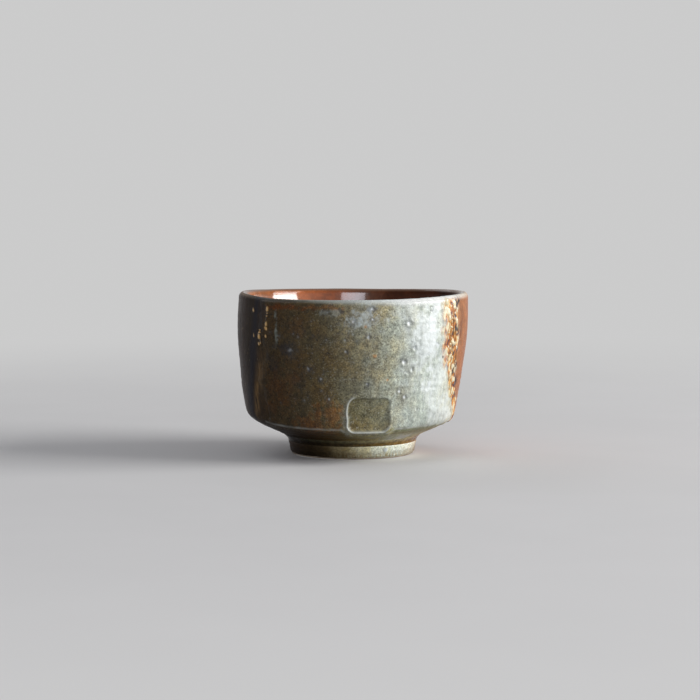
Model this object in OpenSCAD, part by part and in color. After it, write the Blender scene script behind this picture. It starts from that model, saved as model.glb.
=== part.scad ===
// Guinomi sake cup: a thrown stoneware bowl on a foot ring, with each fired coat as its own solid.
// The origin is the centre of the face that it stands on. +Z is up and the ash-covered front faces -Y.

/* [Bowl] */
// Widest diameter, over the glaze
cup_d = 65; // [60:0.5:76]
// Height of the lip above the table
cup_h = 45.4; // [42:0.2:56]
// Depth of the widest level below the lip
belly_drop = 6.9; // [4:0.1:12]
// How far the lip draws in from the widest radius
lip_in = 0.15; // [0:0.05:1.5]
// Thickness of the lip
lip_t = 2.2; // [1.8:0.1:3.4]
// Height over which the lip rounds off
lip_drop = 1.3; // [0.9:0.1:2]
// How far the ridge lies in from the widest radius
ridge_in = 3.2; // [1.5:0.05:5]
// Height of the ridge where the wall turns under
ridge_z = 10.6; // [9:0.1:13]
// Length over which the ridge is rounded, along each of its two sides
ridge_round = 1.2; // [0.6:0.1:2]
// Lean of the lower wall from upright, in degrees
wall_lean = 9.5; // [5:0.5:14]
// Slope of the underside just below the ridge, in degrees
under_slope = 39; // [32:1:46]
// Thickness of the wall where it starts to turn into the floor
wall_t = 3.3; // [2.6:0.1:4.4]
// Thickness of the floor in the middle
floor_t = 3.9; // [3:0.1:5]
// Height above the floor where the wall starts to turn into it
well_h = 11.5; // [9:0.5:15]
// Radius of the flat middle that the well curve aims at
well_floor_r = 18; // [12:0.5:21]

/* [Foot] */
// Diameter of the foot ring at its top, over its glaze
foot_d = 36.4; // [32:0.2:42]
// Diameter of the foot ring at the table, before its edge is rounded
foot_base_d = 34.9; // [31:0.1:40]
// Height of the foot ring
foot_h = 3.7; // [3:0.1:5]
// Rounding of the foot's lower edges
foot_edge = 0.4; // [0.2:0.05:0.8]
// Width of the foot ring at the table
bearing_w = 3.9; // [3:0.1:5]
// How much the bore of the foot narrows towards its top
bore_draw = 0.8; // [0:0.1:1.5]
// Height that the underside dishes up inside the foot
recess_dish = 0.7; // [0.3:0.1:1.2]
// Depth of the groove between the foot's top and the bowl
groove_in = 0.5; // [0.3:0.05:1]
// Height over which the underside rounds down into the groove
groove_rise = 2.1; // [1.2:0.1:2.6]

/* [Fired coats] */
// Thickness of the outer glaze
glaze_t = 0.35; // [0.25:0.05:0.5]
// Thickness of the glaze inside the cup
liner_t = 0.4; // [0.25:0.05:0.6]
// Thickness of the ash coat over the front
ash_t = 0.25; // [0.15:0.05:0.4]
// Edge of the ash coat, in degrees left of the front
ash_left = 52; // [30:1:70]
// Edge of the ash coat, in degrees right of the front
ash_right = 57; // [30:1:70]
// Thickness of a run of melted ash
run_t = 0.3; // [0.2:0.05:0.5]
// Width of a run of melted ash
run_w = 1.3; // [0.8:0.1:1.8]
// Gap between neighbouring runs
run_gap = 0.5; // [0.3:0.1:1]
// Thickness of the glaze on the foot
foot_glaze_t = 0.2; // [0.15:0.05:0.35]
// Bare height left between the foot's glaze and the table
foot_bare = 0.7; // [0.5:0.1:1.5]

/* [Pressed panel] */
// Width of the bare panel pressed into the lower wall
panel_w = 11.7; // [8:0.1:14]
// Height of the panel
panel_h = 9.6; // [8:0.1:12]
// Radius of its corners
panel_corner = 2.2; // [1:0.1:3]
// Depth of its flat bed below the wall, at its middle
panel_depth = 0.9; // [0.7:0.05:1.2]
// Height of its middle above the ridge
panel_lift = 3.8; // [2.8:0.1:8]
// Its place, in degrees right of the front
panel_angle = 9.5; // [-20:0.5:20]
// Width of the clay pushed up round it
rim_w = 0.8; // [0.7:0.05:1.4]
// Height of the clay pushed up round it
rim_proud = 0.3; // [0.2:0.05:0.5]

/* [Hidden] */
$fn = 96;

// Length by which a cut runs past what it cuts
overrun = 2;

// Points along each stretch of the outline
lip_steps = 5;
neck_steps = 2;
wall_steps = 9;
ridge_steps = 4;
under_steps = 9;
well_steps = 11;
dish_steps = 4;

// Shares of a stretch that its two curve handles take
quarter_share = 0.55;
belly_pull_share = 0.3;
lean_pull_share = 0.38;
ridge_pull_share = 0.67;
under_pull_share = 0.36;
well_pull_share = 0.85;

// Points of the lip, from its crest, that the ash coat leaves bare
lip_bare_steps = 3;

// Share of the underside's points that the pool in the groove covers
pool_share = 0.34;

// Place of the first run beside the ash coat, as a share of the step from run to run
first_run_share = 0.75;

// Left and right runs: where each begins and ends, as shares of the way down the wall
left_run_shares = [[0.06, 0.42], [0.1, 0.58], [0.3, 0.72]];
right_run_shares = [[0.04, 0.5], [0.08, 0.86], [0.02, 0.36], [0.22, 0.7], [0.12, 0.56]];

// Key radii and points, as [radius, height]
cup_r = cup_d / 2;
lip_r = cup_r - lip_in;
foot_r = foot_d / 2;
base_r = foot_base_d / 2;
crest = [lip_r - lip_t / 2, cup_h];
lip_side = [lip_r, cup_h - lip_drop];
lip_bore = [lip_r - lip_t, cup_h - lip_drop];
belly_z = cup_h - belly_drop;
belly = [cup_r, belly_z];
ridge = [cup_r - ridge_in, ridge_z];
groove = [foot_r - groove_in, foot_h];

// Unit steps up the lower wall and down the underside, from the ridge
up_wall = [sin(wall_lean), cos(wall_lean)];
down_under = [-cos(under_slope), -sin(under_slope)];
ridge_top = ridge + ridge_round * up_wall;
ridge_low = ridge + ridge_round * down_under;

// The well inside the bowl
floor_z = foot_h + floor_t;
well_top_z = floor_z + well_h;
well_top = [lower_wall_r(well_top_z) - wall_t, well_top_z];
well_mid = [0, floor_z];

// The bore of the foot ring
bore_base_r = base_r - foot_glaze_t - bearing_w;
bore_top_r = bore_base_r - bore_draw;

// Height of the middle of the pressed panel
panel_z = ridge_z + panel_lift;

// Points of the outline where the wall starts and ends, and where the ridge has turned under
wall_first = lip_steps;
wall_last = lip_steps + neck_steps + wall_steps;
ridge_last = wall_last + ridge_steps;

// Radius of the lower wall, carried on straight below the ridge
function lower_wall_r(z) = cup_r - ridge_in + (z - ridge_z) * tan(wall_lean);

// Radius of the foot's outer face, over its glaze
function foot_face_r(z) = base_r + (foot_r - base_r) * z / foot_h;

// A cubic curve from a to d with handles b and c, moved sideways by skin
function curve(a, b, c, d, steps, skin) = [
    for (i = [0 : steps])
        let (
            t = i / steps,
            u = 1 - t,
            way = u * u * (b - a) + 2 * u * t * (c - b) + t * t * (d - c),
            side = [way[1], -way[0]] / norm(way)
        )
        u * u * u * a + 3 * u * u * t * b + 3 * u * t * t * c + t * t * t * d + skin * side
];

function part_of(line, first, last) = [for (i = [first : last]) line[i]];

function after_first(line) = part_of(line, 1, len(line) - 1);

function reversed(line) = [for (i = [len(line) - 1 : -1 : 0]) line[i]];

// The outside of the bowl from its crest to the groove, moved into the clay by skin
function outer_line(skin) = concat(
    curve(
        crest,
        crest + [quarter_share * lip_t / 2, 0],
        lip_side + [0, quarter_share * lip_drop],
        lip_side,
        lip_steps,
        skin
    ),
    after_first(curve(
        lip_side,
        lip_side - [0, belly_pull_share * (lip_side[1] - belly_z)],
        belly + [0, belly_pull_share * (lip_side[1] - belly_z)],
        belly,
        neck_steps,
        skin
    )),
    after_first(curve(
        belly,
        belly - [0, belly_pull_share * (belly_z - ridge_z)],
        ridge_top + lean_pull_share * (belly_z - ridge_z) * up_wall,
        ridge_top,
        wall_steps,
        skin
    )),
    after_first(curve(
        ridge_top,
        ridge_top - ridge_pull_share * ridge_round * up_wall,
        ridge_low - ridge_pull_share * ridge_round * down_under,
        ridge_low,
        ridge_steps,
        skin
    )),
    after_first(curve(
        ridge_low,
        ridge_low + under_pull_share * (ridge_low[0] - groove[0]) * down_under,
        groove + [0, groove_rise],
        groove,
        under_steps,
        skin
    ))
);

// The inside of the cup from its crest to the middle of the floor, moved into the clay by skin
function inner_line(skin) = concat(
    curve(
        crest,
        crest - [quarter_share * lip_t / 2, 0],
        lip_bore + [0, quarter_share * lip_drop],
        lip_bore,
        lip_steps,
        -skin
    ),
    after_first(curve(
        lip_bore,
        lip_bore - [0, belly_pull_share * (lip_bore[1] - well_top_z)],
        well_top + lean_pull_share * (lip_bore[1] - well_top_z) * up_wall,
        well_top,
        wall_steps,
        -skin
    )),
    after_first(curve(
        well_top,
        well_top - well_pull_share * well_h * up_wall,
        [well_floor_r, floor_z],
        well_mid,
        well_steps,
        -skin
    ))
);

// A coat's section between two points of the outline, rooted in the clay, its two ends dipping under
function rooted_band(first, last, raise) =
    let (low_line = outer_line(raise), root = [overrun, 0])
    concat(
        [low_line[first]],
        part_of(outer_line(-raise), first + 1, last - 1),
        [low_line[last], low_line[last] - root, low_line[first] - root]
    );

// Puts its children on the wall at the pressed panel, with their +Z out of the wall
module at_panel() {
    rotate([0, 0, panel_angle])
        translate([0, -lower_wall_r(panel_z), panel_z])
            rotate([90 + wall_lean, 0, 0])
                children();
}

// The panel's outline, grown by grow
module panel_outline(grow) {
    across = panel_w + 2 * grow;
    along = panel_h + 2 * grow;
    corner = panel_corner + grow;
    square([across, along - 2 * corner], center = true);
    square([across - 2 * corner, along], center = true);
    for (x = [-1, 1])
        for (y = [-1, 1])
            translate([x * (across / 2 - corner), y * (along / 2 - corner)])
                circle(corner);
}

// What is pressed out of the wall, with its bed and sides moved into the clay by skin
module panel_cut(skin) {
    at_panel()
        translate([0, 0, -panel_depth - skin])
            linear_extrude(panel_depth + skin + overrun)
                panel_outline(skin);
}

// The clay pushed up round the panel, moved in by skin
module panel_rim(skin) {
    low_z = panel_z - panel_h;
    high_z = panel_z + panel_h;
    out = rim_proud - skin;
    intersection() {
        at_panel()
            translate([0, 0, -2 * wall_t])
                linear_extrude(2 * wall_t + overrun)
                    panel_outline(rim_w - skin);
        rotate_extrude()
            polygon([
                [0, low_z],
                [lower_wall_r(low_z) + out, low_z],
                [lower_wall_r(high_z) + out, high_z],
                [0, high_z]
            ]);
    }
}

// The turned outside filled to the axis, moved in by skin, and run past its two ends by past
module turned_form(skin, past) {
    line = outer_line(skin);
    rotate_extrude()
        polygon(concat(line, [
            [line[len(line) - 1][0], foot_h - past],
            [0, foot_h - past],
            [0, cup_h + past],
            [crest[0], cup_h + past]
        ]));
}

// The turned outside with the pressed panel in it
module filled_form(skin, past) {
    difference() {
        union() {
            turned_form(skin, past);
            panel_rim(skin);
        }
        panel_cut(skin);
    }
}

// The hollow of the bowl, grown into the clay by skin
module hollow(skin) {
    rotate_extrude()
        polygon(concat(inner_line(skin), [[0, cup_h + overrun], [crest[0], cup_h + overrun]]));
}

// A sector of the bowl about the axis, from first to last degrees right of the front
module sector(first, last) {
    rotate([0, 0, first - 90])
        rotate_extrude(angle = last - first)
            children();
}

// One run of melted ash, centred at place degrees right of the front
module run(place, span) {
    top = wall_first + round(span[0] * (wall_last - wall_first));
    low = wall_first + round(span[1] * (wall_last - wall_first));
    wall = part_of(outer_line(0), top, low);
    crown = part_of(outer_line(-run_t), top + 1, low - 1);
    half_turn = run_w / cup_d * 180 / PI;
    sector(place - half_turn, place + half_turn)
        polygon(concat([wall[0]], crown, reversed(after_first(wall))));
}

// A row of runs that starts at an edge of the ash coat and goes on away from the front
module run_row(edge, way, spans) {
    step = (run_w + run_gap) / cup_d * 360 / PI;
    for (i = [0 : len(spans) - 1])
        run(edge + way * (i + first_run_share) * step, spans[i]);
}

module clay_bowl() {
    color([0.5, 0.36, 0.27])
        difference() {
            filled_form(glaze_t, 0);
            hollow(liner_t);
            rotate_extrude()
                polygon(concat(
                    curve(
                        [bore_top_r, foot_h],
                        [bore_top_r * quarter_share, foot_h + recess_dish],
                        [bore_top_r * quarter_share / 2, foot_h + recess_dish],
                        [0, foot_h + recess_dish],
                        dish_steps,
                        0
                    ),
                    [[0, foot_h - overrun], [bore_top_r, foot_h - overrun]]
                ));
        }
}

module foot_ring() {
    color([0.55, 0.42, 0.32])
        rotate_extrude()
            polygon([
                [bore_base_r + foot_edge, 0],
                [base_r - foot_glaze_t - foot_edge, 0],
                [foot_face_r(foot_edge) - foot_glaze_t, foot_edge],
                [foot_r - foot_glaze_t, foot_h],
                [bore_top_r, foot_h],
                [bore_base_r, foot_edge]
            ]);
}

module liner_glaze() {
    color([0.55, 0.24, 0.1])
        rotate_extrude()
            polygon(concat(inner_line(0), reversed(inner_line(liner_t))));
}

module outer_glaze() {
    color([0.48, 0.22, 0.13])
        difference() {
            filled_form(0, 0);
            filled_form(glaze_t, overrun);
        }
}

module ash_coat() {
    color([0.56, 0.56, 0.42])
        difference() {
            union() {
                sector(-ash_left, ash_right)
                    polygon(rooted_band(lip_bare_steps, ridge_last, ash_t));
                panel_rim(-ash_t);
            }
            panel_cut(-ash_t);
            filled_form(0, 0);
        }
}

module ash_runs() {
    color([0.78, 0.56, 0.24]) {
        run_row(ash_right, 1, right_run_shares);
        run_row(-ash_left, -1, left_run_shares);
    }
}

module groove_glaze() {
    line = outer_line(0);
    last = len(line) - 1;
    first = last - round(pool_share * under_steps);
    color([0.4, 0.24, 0.08])
        rotate_extrude()
            polygon(concat([[foot_r, foot_h]], part_of(line, first, last)));
}

module foot_glaze() {
    full_z = foot_bare + foot_glaze_t;
    color([0.6, 0.5, 0.33])
        rotate_extrude()
            polygon([
                [foot_face_r(foot_bare) - foot_glaze_t, foot_bare],
                [foot_face_r(full_z), full_z],
                [foot_r, foot_h],
                [foot_r - foot_glaze_t, foot_h]
            ]);
}

clay_bowl();
foot_ring();
liner_glaze();
outer_glaze();
ash_coat();
ash_runs();
groove_glaze();
foot_glaze();
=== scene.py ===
# Guinomi sake cup. Each CAD node is replaced by one finely meshed piece with the cup's hand-made unevenness.
# Lengths are in millimetres until a mesh is made. A turn is in degrees right of the front, which faces -Y.

import math

import bmesh
import bpy
import numpy as np
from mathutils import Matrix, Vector


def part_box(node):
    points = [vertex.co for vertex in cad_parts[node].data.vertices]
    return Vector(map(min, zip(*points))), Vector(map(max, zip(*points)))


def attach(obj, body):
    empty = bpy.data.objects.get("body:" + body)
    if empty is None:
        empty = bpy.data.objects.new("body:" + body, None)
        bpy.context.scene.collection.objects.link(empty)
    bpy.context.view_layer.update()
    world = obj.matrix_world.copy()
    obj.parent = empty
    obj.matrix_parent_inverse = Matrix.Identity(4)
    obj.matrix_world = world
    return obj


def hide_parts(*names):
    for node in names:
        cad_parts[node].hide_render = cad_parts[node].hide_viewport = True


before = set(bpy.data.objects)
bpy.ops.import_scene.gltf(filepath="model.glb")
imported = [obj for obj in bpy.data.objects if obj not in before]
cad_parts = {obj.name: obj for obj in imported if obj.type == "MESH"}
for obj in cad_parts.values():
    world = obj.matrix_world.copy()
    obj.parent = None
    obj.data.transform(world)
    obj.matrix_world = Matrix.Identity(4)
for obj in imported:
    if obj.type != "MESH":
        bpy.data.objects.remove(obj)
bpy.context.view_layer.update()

MM = 0.001


def top_of(node):
    return np.array(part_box(node)[1]) / MM


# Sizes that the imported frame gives
CUP_R = top_of("outer_glaze")[0]
CUP_H = top_of("outer_glaze")[2]
FOOT_R = top_of("foot_glaze")[0]
FOOT_H = top_of("foot_ring")[2]

# Sizes of the bowl's outline
LIP_IN = 0.15
LIP_T = 2.2
LIP_DROP = 1.3
BELLY_DROP = 6.9
RIDGE_IN = 3.2
RIDGE_Z = 10.6
RIDGE_ROUND = 1.2
WALL_LEAN = math.radians(9.5)
UNDER_SLOPE = math.radians(39)
WALL_T = 3.3
FLOOR_T = 3.9
WELL_H = 11.5
WELL_FLOOR_R = 18
GROOVE_IN = 0.5
GROOVE_RISE = 2.1

# Sizes of the foot, and a drop frozen on it: turn, height, radius, proud
FOOT_BASE_R = 17.45
FOOT_EDGE = 0.4
BEARING_W = 3.9
BORE_DRAW = 0.8
RECESS_DISH = 0.7
FOOT_BARE = 0.46
FOOT_DROP = (31, 2.6, 0.75, 0.22)

# How far the liner swells inward below the lip
LINER_FLARE = 0.32

# Thicknesses of the fired coats
GLAZE_T = 0.35
LINER_T = 0.4
ASH_T = 0.25
FOOT_GLAZE_T = 0.2

# The bare panel pressed into the lower wall. Its middle lies PANEL_LIFT above the ridge, its bed is shallower
# by PANEL_RISE at the top, PANEL_RIM is its raised edge, and the ridge under it is pushed down by PANEL_PUSH.
PANEL_W = 11.7
PANEL_H = 9.6
PANEL_CORNER = 2.2
PANEL_DEPTH = 0.9
PANEL_LIFT = 3.8
PANEL_TURN = 9.5
PANEL_RIM = 0.34
PANEL_PUSH = 1.15
PANEL_RISE = 0.38

# The ash coat: the turn at which it ends on the left, the height at which it ends below, how softly it ends
# at the left in degrees, and the turns between which its mesh lies
ASH_LEFT = -52
ASH_LOW = 9.2
ASH_FEATHER = 5
ASH_SPAN = (-69, 90)

# On the right it ends in a zone of amber runs and beads, whose middle and half width depend on the height
ZONE_HIGH = (10, 14, 18, 22, 26, 30, 36, 44)
ZONE_TURN = (79, 73.5, 67.5, 63, 60.5, 59.5, 57.5, 56)
ZONE_HALF = (2.5, 4, 5, 5, 6, 7.5, 7.5, 7.5)

# Height of a faint line round the wall
SEAM_Z = 21.4

# Uneven throwing: how far the rim and the ridge are lifted. The four parts are a mean, a wave that is highest
# in front, one that is highest in front and at the back, and one that is highest at the right.
RIM_LIFT = (0, 0.15, -0.375, 0)
RIDGE_LIFT = (0.075, -0.3, -0.375, -0.15)

# How far to the right of the foot's middle the cup's is, at each height
LEAN_AT = (0, 4, 12, 18, 45)
LEAN_BY = (0, 0, -0.5, -0.5, 0.3)

# Where the rim sags: turn, half width and depth
RIM_SAG = (-42, 26, 0.34)

# How much fuller the wall is than its drawn curve, low and high up
FULL_LOW = 0.24
FULL_HIGH = 0.12

# Larger pits in the ash: turn, height, radius, depth
PITS = (
    (-30.8, 31.4, 1.15, 0.24), (-21.4, 26.4, 0.7, 0.2), (-14.7, 23.8, 0.6, 0.16),
    (0.5, 39.7, 0.75, 0.18), (9.2, 42.9, 0.8, 0.2), (9.5, 40.2, 0.6, 0.18), (7.8, 35.3, 0.75, 0.24),
    (-3.5, 34.5, 0.6, 0.14), (-3, 31.5, 0.5, 0.12), (27.9, 38.9, 0.85, 0.24),
    (31.4, 32, 0.7, 0.2), (26.3, 28.3, 0.95, 0.24), (31, 26, 0.8, 0.22),
    (28.2, 18.8, 0.75, 0.2), (25.2, 20.3, 0.6, 0.16), (8, 22.5, 0.55, 0.14),
    (-10.5, 18.5, 0.6, 0.14), (36, 15.5, 0.5, 0.12),
)

# Small pits spread over the ash by chance, and the number of bubbles beside each larger pit
SMALL_PITS = 90
SMALL_PIT_SEED = 41
BUBBLES = 4

# Burst bubble seen as a ring: turn, height, radius
RINGS = ((40.7, 42.3, 0.64),)

# Runs of melted ash: turn, top height, low height, half width, proud
RUNS = (
    (53.5, 42.8, 33.5, 0.34, 0.22), (55.2, 38.5, 27.5, 0.4, 0.26), (56.6, 43, 30, 0.42, 0.28),
    (58.6, 41.6, 22, 0.4, 0.26), (60.8, 36, 19.5, 0.34, 0.24), (63.5, 30.5, 17, 0.3, 0.2),
    (-46.2, 43, 36.5, 0.34, 0.26), (-51.6, 37, 32.5, 0.36, 0.14),
)
RUN_SEED = 5

# Drops of ash frozen in the amber zone
BEADS = 46
BEAD_SEED = 12

# Gold drops beside the left edge: turn, height, radius, proud
GOLD_DROPS = (
    (-46, 42.3, 0.55, 0.24), (-46.3, 38.2, 0.5, 0.22), (-46.1, 36.9, 0.36, 0.16),
    (-46.6, 34.8, 0.34, 0.14), (-52.1, 34.5, 0.64, 0.34), (-52.6, 32.4, 0.36, 0.14),
    (-58, 41.5, 0.4, 0.14), (-57, 34.6, 0.32, 0.12),
)

# Orange-brown clouds in the ash: turn, height, half width, half height, strength
WARM_CLOUDS = (
    (-11, 14.5, 9, 4.5, 0.62), (-20, 11.5, 12, 2.4, 0.55), (-34, 43.3, 16, 0.9, 0.9),
    (-19, 43.4, 12, 0.7, 0.6), (-38, 21, 10, 8, 0.3), (-27, 38, 5, 3, 0.25),
    (6.2, 38.3, 0.9, 0.4, 0.8), (11.1, 30.2, 0.8, 0.45, 0.75), (18.2, 23.6, 0.6, 0.35, 0.8),
    (-9, 17.8, 1.2, 0.8, 0.6),
)

# Whitish clouds in the ash, in the same form. The tall ones at turns 36 and 42.5 are painted sheen: a white
# band where the key light's reflection falls.
PALE_AND_SHEEN_CLOUDS = (
    (-10.5, 42.1, 5, 0.9, 0.3), (6.5, 40.8, 8, 3.4, 0.8), (27, 41, 7, 3.4, 0.4),
    (28, 36.8, 5, 4, 0.4), (36, 34, 6.5, 12, 0.7), (29, 26, 5, 6, 0.28), (-3, 13, 3, 5, 0.22),
    (42.5, 35, 4.5, 12, 0.95), (48, 24, 8, 9, 0.5), (56, 14, 14, 4, 0.6), (37, 6.2, 12, 1.2, 1),
    (-39.6, 36.6, 1.3, 4.6, 0.65),
)

# Where the tan streak left of the ash runs: heights and turns
STREAK_HIGH = (13, 20, 29, 44)
STREAK_TURN = (-61, -57, -51.5, -47)

# Dark spots and streaks, in the same form as the clouds. The wide one at turn 48 just above the ridge is
# painted shade, where the wall turns under.
DARK_SPOTS_AND_SHADE = (
    (64, 43.9, 2.4, 0.9, 1), (60, 42.8, 2.4, 0.9, 1), (57.8, 38.6, 1.5, 0.8, 1),
    (60.2, 35.5, 3.6, 1.7, 0.95), (59.6, 29.3, 2.2, 1.3, 0.95), (50.6, 29.1, 0.8, 0.65, 1.2),
    (63.8, 25.6, 2.8, 1.7, 0.95), (67.5, 21.4, 2.4, 1.5, 0.95), (70.5, 17.4, 1.6, 1.2, 0.7),
    (-33.5, 31.6, 4.5, 1.3, 0.42), (-33, 32, 2.5, 0.8, 0.4), (-20.5, 26.6, 2.2, 0.9, 0.35),
    (-53, 41.5, 6, 5.5, 0.6), (-3, 31.5, 9, 6, 0.16), (-14.5, 42.8, 1.2, 0.7, 0.7),
    (-5.8, 42.4, 1.3, 0.8, 0.7), (1.5, 24.5, 4, 2.5, 0.2), (-28, 24, 5, 4, 0.2),
    (-43, 27, 4, 3, 0.3), (-16, 34, 5, 2.5, 0.2), (20.5, 12.8, 2.6, 2, 0.2),
    (48, 11.6, 16, 2.6, 0.22), (29, 19.5, 6, 6, 0.12), (11.5, 26.5, 7, 7, 0.14),
    (-2, 25.5, 8, 5.5, 0.18),
)

# Greys of the backdrop, the floor and the soft light all round, and the distances in metres between which the
# floor blends into the backdrop
PALE = 0.6
FLOOR_GREY = 0.84
AMBIENT = 0.22
FLOOR_FADE = (0.1, 0.45)

# The floor ring: its reach in metres, and in mm the radius of its hole under the foot, which lets light reach
# the underside, and how far below the foot it lies
FLOOR_REACH = 4
FLOOR_HOLE = 16.9
FLOOR_SINK = 0.03
FLOOR_SIDES = 96

# The point above the foot's middle that all lights look at, in mm
LIGHT_AIM = 30

# The camera that took the photo: its place in mm, the degrees by which it looks down, its focal length and
# the picture's width in pixels, and its sensor's width in mm
EYE = (-0.68, -640, 82)
LOOK_DOWN = 4.72
FOCAL_PX = 2260
PICTURE_PX = 700
SENSOR_W = 36

# Mesh fineness: points round the cup, rows along a coat's face and along its back, and steps along a run
SKIN_TURNS = 600
SKIN_ROWS = 142
ASH_TURNS = 440
ASH_ROWS = 200
LINER_TURNS = 400
LINER_ROWS = 150
CLAY_TURNS = 240
CLAY_ROWS = 60
FOOT_ROWS = 28
POOL_ROWS = 22
RUN_ROWS = 15
RUN_STEPS = 90
BACK_ROWS = 24


def rise(low, high, x):
    """0 below low, 1 above high, and a soft step between"""
    t = np.clip((x - low) / (high - low), 0, 1)
    return t * t * (3 - 2 * t)


def fall(low, high, x):
    """1 below low, 0 above high, and a soft step between"""
    return 1 - rise(low, high, x)


def bell(x, width):
    return np.exp(-((x / width) ** 2))


def noise(seed, turn, high, turn_cell, high_cell):
    """Smooth noise from -1 to 1 in cells of turn_cell degrees by high_cell mm, with no seam at the back"""
    around = round(360 / turn_cell)
    deep = 128
    grid = np.random.default_rng(seed).uniform(-1, 1, (deep, around))
    u, v = np.broadcast_arrays((np.asarray(turn) % 360) / 360 * around, np.asarray(high) / high_cell)
    i, j = np.floor(u).astype(int), np.floor(v).astype(int)
    s, t = rise(0, 1, u - i), rise(0, 1, v - j)

    def corner(right, up):
        return grid[(j + up) % deep, (i + right) % around]

    low = corner(0, 0) * (1 - s) + corner(1, 0) * s
    high_side = corner(0, 1) * (1 - s) + corner(1, 1) * s
    return low * (1 - t) + high_side * t


def bezier(a, b, c, d, steps=80):
    t = np.linspace(0, 1, steps + 1)[:, None]
    u = 1 - t
    return u**3 * a + 3 * u * u * t * b + 3 * u * t * t * c + t**3 * d


def joined(*lines):
    return np.vstack([lines[0]] + [line[1:] for line in lines[1:]])


def evenly(line, count):
    """The same line with count points at even steps"""
    steps = np.hypot(*np.diff(line, axis=0).T)
    along = np.concatenate([[0], np.cumsum(steps)])
    at = np.linspace(0, along[-1], count)
    return np.stack([np.interp(at, along, line[:, k]) for k in (0, 1)], 1)


def sides(line, way):
    """Unit normals of a line, to its left for way 1 and to its right for way -1"""
    step = np.gradient(line, axis=0)
    side = np.stack([-step[:, 1], step[:, 0]], 1) * way
    return side / np.hypot(*side.T)[:, None]


def point(r, z):
    return np.array([r, z], float)


# Key points of the outline, as radius and height
LIP_R = CUP_R - LIP_IN
CREST = point(LIP_R - LIP_T / 2, CUP_H)
LIP_SIDE = point(LIP_R, CUP_H - LIP_DROP)
LIP_BORE = point(LIP_R - LIP_T, CUP_H - LIP_DROP)
BELLY = point(CUP_R, CUP_H - BELLY_DROP)
RIDGE = point(CUP_R - RIDGE_IN, RIDGE_Z)
GROOVE = point(FOOT_R - GROOVE_IN, FOOT_H)
UP_WALL = point(math.sin(WALL_LEAN), math.cos(WALL_LEAN))
DOWN_UNDER = point(-math.cos(UNDER_SLOPE), -math.sin(UNDER_SLOPE))
RIDGE_TOP = RIDGE + RIDGE_ROUND * UP_WALL
RIDGE_LOW = RIDGE + RIDGE_ROUND * DOWN_UNDER
FLOOR_Z = FOOT_H + FLOOR_T
BORE_BASE_R = FOOT_BASE_R - FOOT_GLAZE_T - BEARING_W
BORE_TOP_R = BORE_BASE_R - BORE_DRAW


def lower_wall_r(z):
    return RIDGE[0] + (z - RIDGE_Z) * math.tan(WALL_LEAN)


def outer_curve():
    """The outside from the crest of the lip to the groove over the foot"""
    drop = point(0, 1)
    neck = 0.3 * (LIP_SIDE[1] - BELLY[1])
    wall = BELLY[1] - RIDGE_Z
    return joined(
        bezier(CREST, CREST + point(0.55 * LIP_T / 2, 0), LIP_SIDE + 0.55 * LIP_DROP * drop, LIP_SIDE),
        bezier(LIP_SIDE, LIP_SIDE - neck * drop, BELLY + neck * drop, BELLY),
        bezier(BELLY, BELLY - 0.3 * wall * drop, RIDGE_TOP + 0.38 * wall * UP_WALL, RIDGE_TOP),
        bezier(RIDGE_TOP, RIDGE_TOP - 0.67 * RIDGE_ROUND * UP_WALL,
               RIDGE_LOW - 0.67 * RIDGE_ROUND * DOWN_UNDER, RIDGE_LOW),
        bezier(RIDGE_LOW, RIDGE_LOW + 0.36 * (RIDGE_LOW[0] - GROOVE[0]) * DOWN_UNDER,
               GROOVE + GROOVE_RISE * drop, GROOVE),
    )


def inner_curve():
    """The inside from the crest of the lip to the middle of the floor"""
    drop = point(0, 1)
    well_z = FLOOR_Z + WELL_H
    well = point(lower_wall_r(well_z) - WALL_T, well_z)
    wall = LIP_BORE[1] - well_z
    return joined(
        bezier(CREST, CREST - point(0.55 * LIP_T / 2, 0), LIP_BORE + 0.55 * LIP_DROP * drop, LIP_BORE),
        bezier(LIP_BORE, LIP_BORE - 0.3 * wall * drop, well + 0.38 * wall * UP_WALL, well),
        bezier(well, well - 0.85 * WELL_H * UP_WALL, point(WELL_FLOOR_R, FLOOR_Z), point(0, FLOOR_Z)),
    )


def waves(parts, turn):
    """A mean and slow waves round the cup"""
    a = np.radians(turn)
    mean, front, twice, right = parts
    return mean + front * np.cos(a) + twice * np.cos(2 * a) + right * np.sin(a)


def lift(turn, high, outside):
    """How far the uneven throwing raises the clay, in mm. The ridge's part is for the outside only."""
    sag_turn, sag_half, sag = RIM_SAG
    rim = waves(RIM_LIFT, turn) - sag * bell(turn - sag_turn, sag_half) + 0.06 * noise(21, turn, 0, 24, 1)
    ridge = waves(RIDGE_LIFT, turn) + 0.1 * noise(22, turn, 0, 30, 1)
    near_ridge = rise(FOOT_H, RIDGE_Z, high) * fall(RIDGE_Z, 2.3 * RIDGE_Z, high)
    half = math.degrees(PANEL_W / 2 / RIDGE[0])
    off = abs(turn - PANEL_TURN)
    pushed = fall(half - 2, half + 4.5, off) * rise(RIDGE_Z - 4, RIDGE_Z - 0.8, high)
    pushed = pushed * fall(RIDGE_Z + 0.2, RIDGE_Z + 3.4, high)
    return rim * rise(0.6 * CUP_H, CUP_H, high) + outside * (ridge * near_ridge - PANEL_PUSH * pushed)


def placed(turn, r, high, outside=1):
    """Points in mm for turns, radii and heights, on the uneven cup"""
    a = np.radians(turn)
    x = r * np.sin(a) + np.interp(high, LEAN_AT, LEAN_BY)
    return np.stack(np.broadcast_arrays(x, -r * np.cos(a), high + lift(turn, high, outside)), -1)


def skin(line, way, offset, turn, outside=1):
    """Points over a turned line, moved along its normals by offset"""
    side = sides(line, way)
    r = line[:, :1] + side[:, :1] * offset
    high = line[:, 1:] + side[:, 1:] * offset
    return placed(turn, r, high, outside)


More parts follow.
